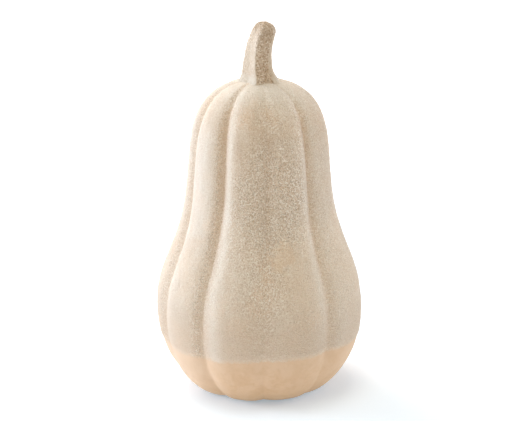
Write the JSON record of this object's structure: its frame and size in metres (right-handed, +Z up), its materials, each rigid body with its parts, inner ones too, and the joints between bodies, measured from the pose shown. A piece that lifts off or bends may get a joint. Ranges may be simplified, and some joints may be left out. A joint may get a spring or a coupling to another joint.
{
  "type": "ceramic gourd figure",
  "caption": "Hollow pear-shaped ceramic gourd with soft lobes and a curved ridged stem, sand glaze above a bare clay foot band. Stands on a shelf as decoration.",
  "frame": {"origin": "on the standing plane under the foot pads, at the middle of the outline seen from above", "axes": "+Z up, front towards -Y, the stem's tip bends towards +X"},
  "size_m": [0.1538, 0.1542, 0.2777],
  "materials": {
    "bare_clay": "matte unglazed peach stoneware",
    "sand_glaze": "matte speckled sand-textured glaze",
    "stem_glaze": "matte, coarser and browner sand-textured glaze",
    "luting_slip": "matte fired slip",
    "felt": "pressed wool felt"
  },
  "bodies": {
    "root": {"gourd_body": "bare_clay", "body_glaze": "sand_glaze", "stem": "bare_clay", "stem_glaze": "stem_glaze", "stem_luting_slip": "luting_slip", "foot_pad_front_left": "felt", "foot_pad_front_right": "felt", "foot_pad_back_left": "felt", "foot_pad_back_right": "felt"}
  },
  "joints": []
}
